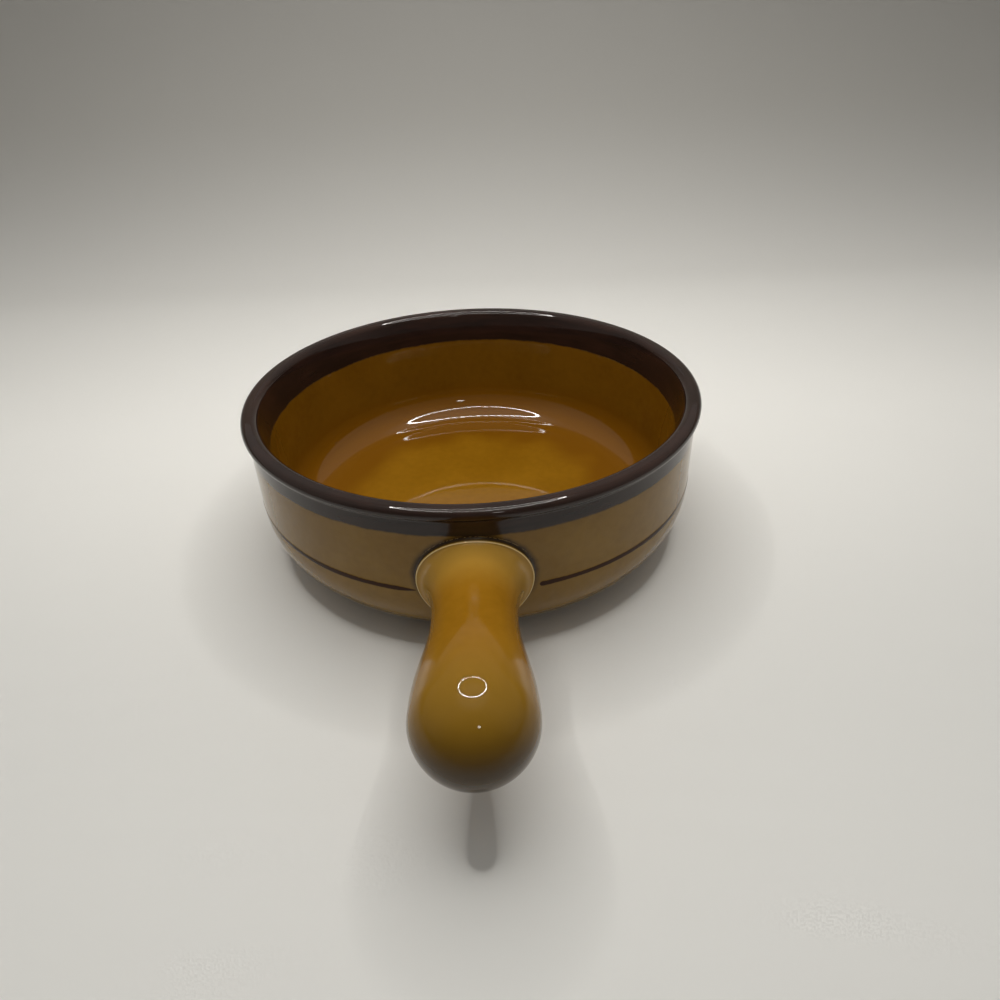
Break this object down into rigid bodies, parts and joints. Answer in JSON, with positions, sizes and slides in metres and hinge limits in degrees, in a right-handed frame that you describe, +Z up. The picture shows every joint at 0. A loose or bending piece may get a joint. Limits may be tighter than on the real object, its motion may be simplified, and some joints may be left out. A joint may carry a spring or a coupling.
{
  "type": "lug soup bowl",
  "caption": "Round glazed stoneware soup bowl with an upright wall, rolled dark rim, flat floor, foot ring and a hollow bulb-ended stick handle for holding it.",
  "frame": {"origin": "centre of the foot ring on the plane the bowl stands on", "axes": "+Z up along the bowl's axis, -Y out along the handle, +X to the right when the handle points at the viewer"},
  "size_m": [0.14, 0.1985, 0.049],
  "materials": {
    "stoneware": "bare fired clay, dry and slightly rough",
    "slip": "fired joining slip",
    "amber_glaze": "clear glossy amber glaze",
    "brown_glaze": "glossy dark brown glaze"
  },
  "bodies": {
    "root": {"bowl_body": "stoneware", "handle_body": "stoneware", "joining_slip": "slip", "rim_band": "brown_glaze", "inside_glaze": "amber_glaze", "outside_glaze": "amber_glaze", "handle_glaze": "amber_glaze", "base_glaze": "amber_glaze", "stripe": "brown_glaze"}
  },
  "joints": []
}
